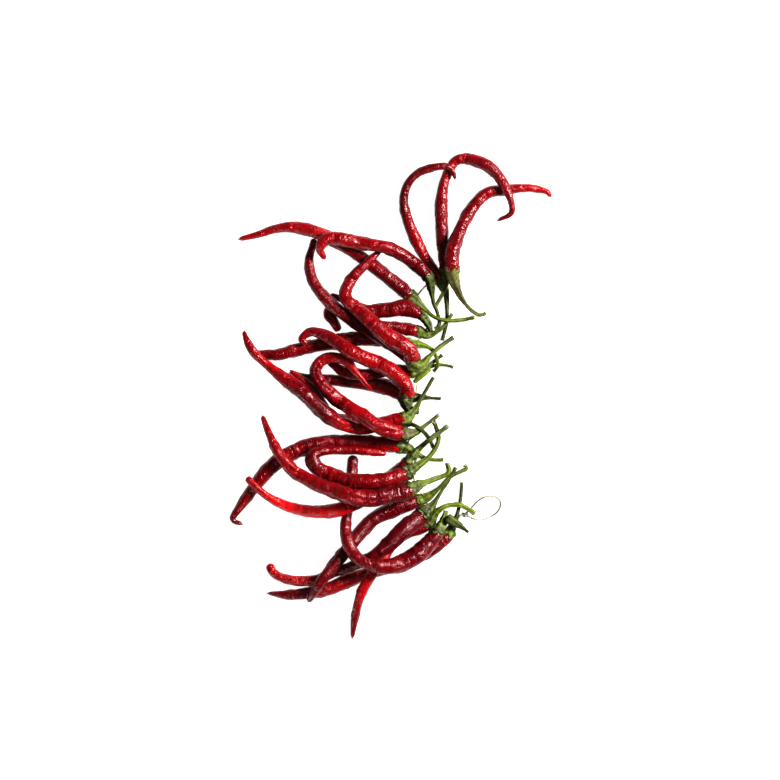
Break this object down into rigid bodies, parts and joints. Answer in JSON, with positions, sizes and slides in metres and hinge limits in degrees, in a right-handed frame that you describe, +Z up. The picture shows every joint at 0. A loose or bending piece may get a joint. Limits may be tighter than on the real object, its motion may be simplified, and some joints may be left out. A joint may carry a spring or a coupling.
{
  "type": "string of dried chillies",
  "caption": "Long curled red chilli pods on green stalks, threaded behind their caps on a cream twine that ends in a knot and a loop, lying flat.",
  "frame": {"origin": "middle of the underside of the whole string's box, on the table", "axes": "+Y along the string, towards the pods at its upper end; +X towards the stalks' side; +Z up from the table"},
  "size_m": [0.2583, 0.3883, 0.0419],
  "materials": {
    "skin_deep": "glossy wrinkled skin",
    "skin_bright": "glossy wrinkled skin",
    "stalk_green": "ribbed, half matt",
    "stalk_dark": "ribbed, half matt",
    "twine": "twisted cotton"
  },
  "bodies": {
    "root": {"pod_01": "skin_deep", "pod_02": "skin_deep", "pod_03": "skin_deep", "pod_04": "skin_bright", "pod_05": "skin_deep", "pod_06": "skin_deep", "pod_07": "skin_deep", "pod_08": "skin_deep", "pod_09": "skin_deep", "pod_10": "skin_deep", "pod_11": "skin_deep", "pod_12": "skin_deep", "pod_13": "skin_deep", "pod_14": "skin_deep", "pod_15": "skin_deep", "pod_16": "skin_deep", "pod_17": "skin_deep", "pod_18": "skin_bright", "pod_19": "skin_deep", "pod_20": "skin_bright", "pod_21": "skin_deep", "pod_22": "skin_deep", "pod_23": "skin_deep", "pod_24": "skin_deep", "pod_25": "skin_deep", "stalk_01": "stalk_dark", "stalk_02": "stalk_green", "stalk_03": "stalk_dark", "stalk_04": "stalk_green", "stalk_05": "stalk_green", "stalk_06": "stalk_dark", "stalk_07": "stalk_green", "stalk_08": "stalk_dark", "stalk_09": "stalk_green", "stalk_10": "stalk_green", "stalk_11": "stalk_dark", "stalk_12": "stalk_green", "stalk_13": "stalk_dark", "stalk_14": "stalk_green", "stalk_15": "stalk_green", "stalk_16": "stalk_green", "stalk_17": "stalk_green", "stalk_18": "stalk_green", "stalk_19": "stalk_green", "stalk_20": "stalk_green", "stalk_21": "stalk_green", "stalk_22": "stalk_green", "stalk_23": "stalk_green", "stalk_24": "stalk_green", "stalk_25": "stalk_green", "stalk_26": "stalk_green", "stalk_27": "stalk_green", "twine": "twine", "knot": "twine", "twine_loop": "twine"}
  },
  "joints": []
}
